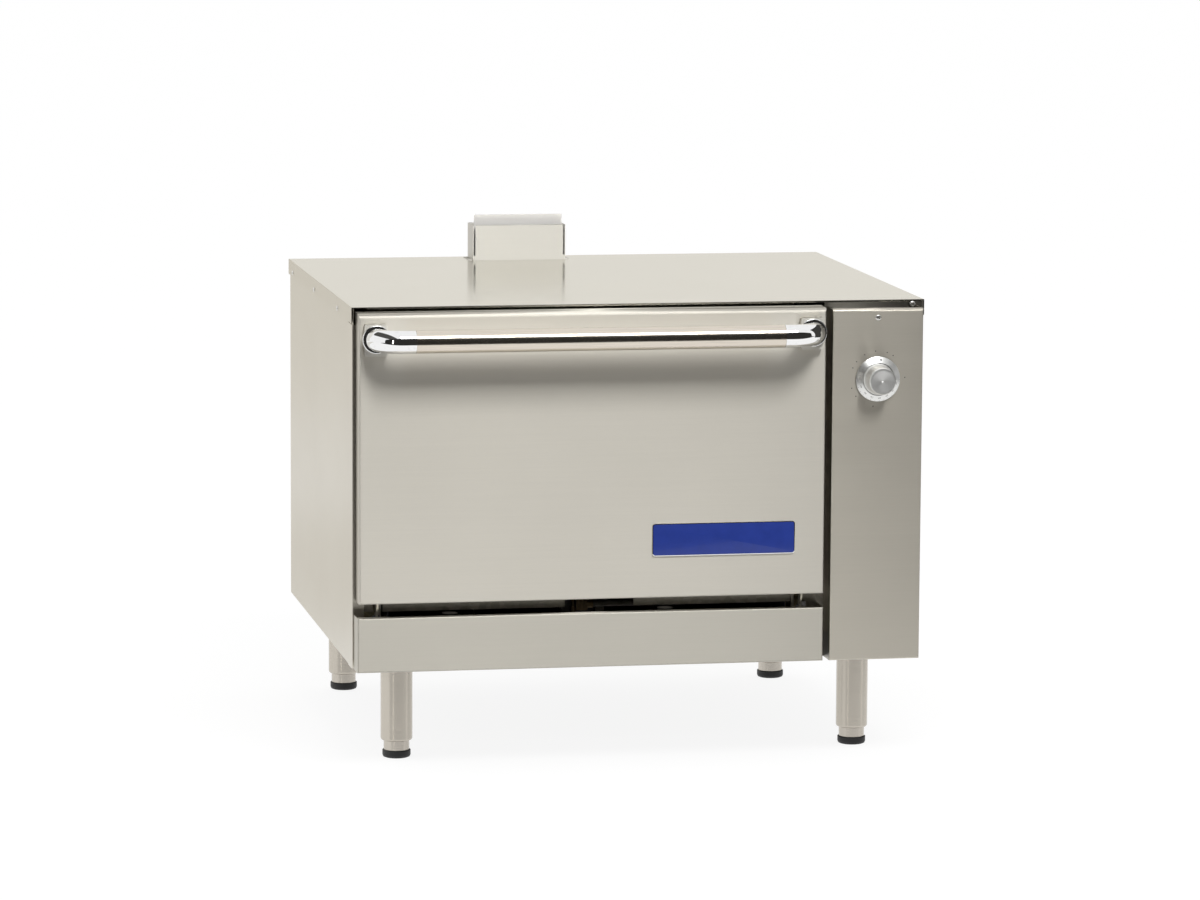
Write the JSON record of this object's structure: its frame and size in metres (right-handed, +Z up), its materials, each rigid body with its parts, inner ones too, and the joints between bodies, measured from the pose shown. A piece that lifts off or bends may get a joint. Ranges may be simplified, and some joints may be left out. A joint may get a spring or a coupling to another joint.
{
  "type": "deck oven",
  "caption": "Low gas deck oven with a drop-down door, tubular door handle, thermostat knob, rear flue riser and adjustable legs.",
  "frame": {"origin": "on the floor, under the middle of the whole oven with its handle and gas pipe", "axes": "+Z up, -Y towards the front where the door and knob are, +X to the oven's right as seen from the front"},
  "size_m": [0.9188, 0.9004, 0.806],
  "materials": {
    "casing_steel": "satin brushed stainless sheet",
    "door_steel": "satin brushed stainless sheet",
    "panel_steel": "satin brushed stainless sheet",
    "flue_steel": "satin stainless sheet",
    "tube_steel": "polished stainless tube",
    "chrome": "bright chrome plate",
    "knob_metal": "turned and brushed, bright",
    "screw_steel": "bright plated screws",
    "plain_steel": "dull aluminised sheet",
    "frame_paint": "dark heat-resistant paint",
    "enamel": "glossy dark oven enamel",
    "hinge_steel": "zinc-plated steel",
    "spring_steel": "oiled spring wire",
    "iron": "rough grey casting",
    "brass": "machined brass",
    "gas_tube": "plain drawn tube",
    "pipe_steel": "black steel pipe",
    "button_red": "moulded, matt",
    "wool": "mineral wool blanket",
    "gasket_braid": "woven heat-resistant braid",
    "foot_black": "black moulded pad"
  },
  "bodies": {
    "casing": {"top_panel": "casing_steel", "left_side_panel": "casing_steel", "right_side_panel": "casing_steel", "top_panel_screws": "screw_steel", "back_panel": "plain_steel", "base_frame": "frame_paint", "control_partition": "plain_steel", "front_frame": "plain_steel", "kick_panel": "door_steel", "control_panel": "panel_steel", "control_bracket": "plain_steel", "control_screws": "screw_steel", "flue_riser": "flue_steel", "flue_front_plate": "flue_steel", "flue_baffle": "flue_steel", "oven_liner": "enamel", "oven_deck": "plain_steel", "rack_guides": "enamel", "oven_insulation": "wool", "thermostat_bulb": "brass", "burner_box_floor": "plain_steel", "burner": "iron", "burner_baffle": "plain_steel", "orifice_fitting": "brass", "burner_supply_tube": "gas_tube", "pilot_burner": "plain_steel", "thermocouple": "brass", "thermostat_body": "gas_tube", "safety_valve": "gas_tube", "gas_inlet_pipe": "pipe_steel", "valve_feed_tube": "gas_tube", "hinge_horns": "hinge_steel", "door_springs": "spring_steel", "leg_tubes": "tube_steel"},
    "door": {"door_outer_shell": "door_steel", "door_inner_panel": "enamel", "door_insulation": "wool", "door_gasket": "gasket_braid", "hinge_levers": "hinge_steel", "hinge_pins": "screw_steel", "handle_bar": "tube_steel", "handle_elbows": "chrome", "handle_brackets": "casing_steel", "handle_screws": "screw_steel"},
    "knob": {"thermostat_shaft": "screw_steel", "knob_dial": "knob_metal", "knob_grip": "knob_metal"},
    "rack": {"oven_rack": "chrome"},
    "shutter": {"air_shutter": "plain_steel"},
    "reset_button": {"safety_valve_button": "button_red"},
    "front_left_foot": {"front_left_foot_stem": "tube_steel", "front_left_foot_pad": "foot_black"},
    "front_right_foot": {"front_right_foot_stem": "tube_steel", "front_right_foot_pad": "foot_black"},
    "rear_left_foot": {"rear_left_foot_stem": "tube_steel", "rear_left_foot_pad": "foot_black"},
    "rear_right_foot": {"rear_right_foot_stem": "tube_steel", "rear_right_foot_pad": "foot_black"}
  },
  "joints": [
    {"name": "door_hinge", "type": "hinge", "parent": "casing", "child": "door", "pos_m": [0, -0.35675, 0.283], "axis": [1, 0, 0], "range_deg": [0, 90], "stiffness_Nm_per_rad": 12, "springref_deg": -17.19, "deforming": ["door_springs"]},
    {"name": "knob_turn", "type": "hinge", "parent": "casing", "child": "knob", "pos_m": [0.3718, -0.39175, 0.61], "axis": [0, -1, 0], "range_deg": [0, 300]},
    {"name": "rack_slide", "type": "slide", "parent": "casing", "child": "rack", "axis": [0, -1, 0], "range_m": [0, 0.028]},
    {"name": "shutter_turn", "type": "hinge", "parent": "casing", "child": "shutter", "pos_m": [-0.0816, -0.22675, 0.246], "axis": [0, -1, 0], "range_deg": [0, 90]},
    {"name": "reset_press", "type": "slide", "parent": "casing", "child": "reset_button", "axis": [0, 1, 0], "range_m": [0, 0.005], "stiffness_N_per_m": 600, "springref_m": -0.002},
    {"name": "front_left_foot_level", "type": "slide", "parent": "casing", "child": "front_left_foot", "axis": [0, 0, -1], "range_m": [-0.012, 0.025]},
    {"name": "front_right_foot_level", "type": "slide", "parent": "casing", "child": "front_right_foot", "axis": [0, 0, -1], "range_m": [-0.012, 0.025]},
    {"name": "rear_left_foot_level", "type": "slide", "parent": "casing", "child": "rear_left_foot", "axis": [0, 0, -1], "range_m": [-0.012, 0.025]},
    {"name": "rear_right_foot_level", "type": "slide", "parent": "casing", "child": "rear_right_foot", "axis": [0, 0, -1], "range_m": [-0.012, 0.025]}
  ]
}
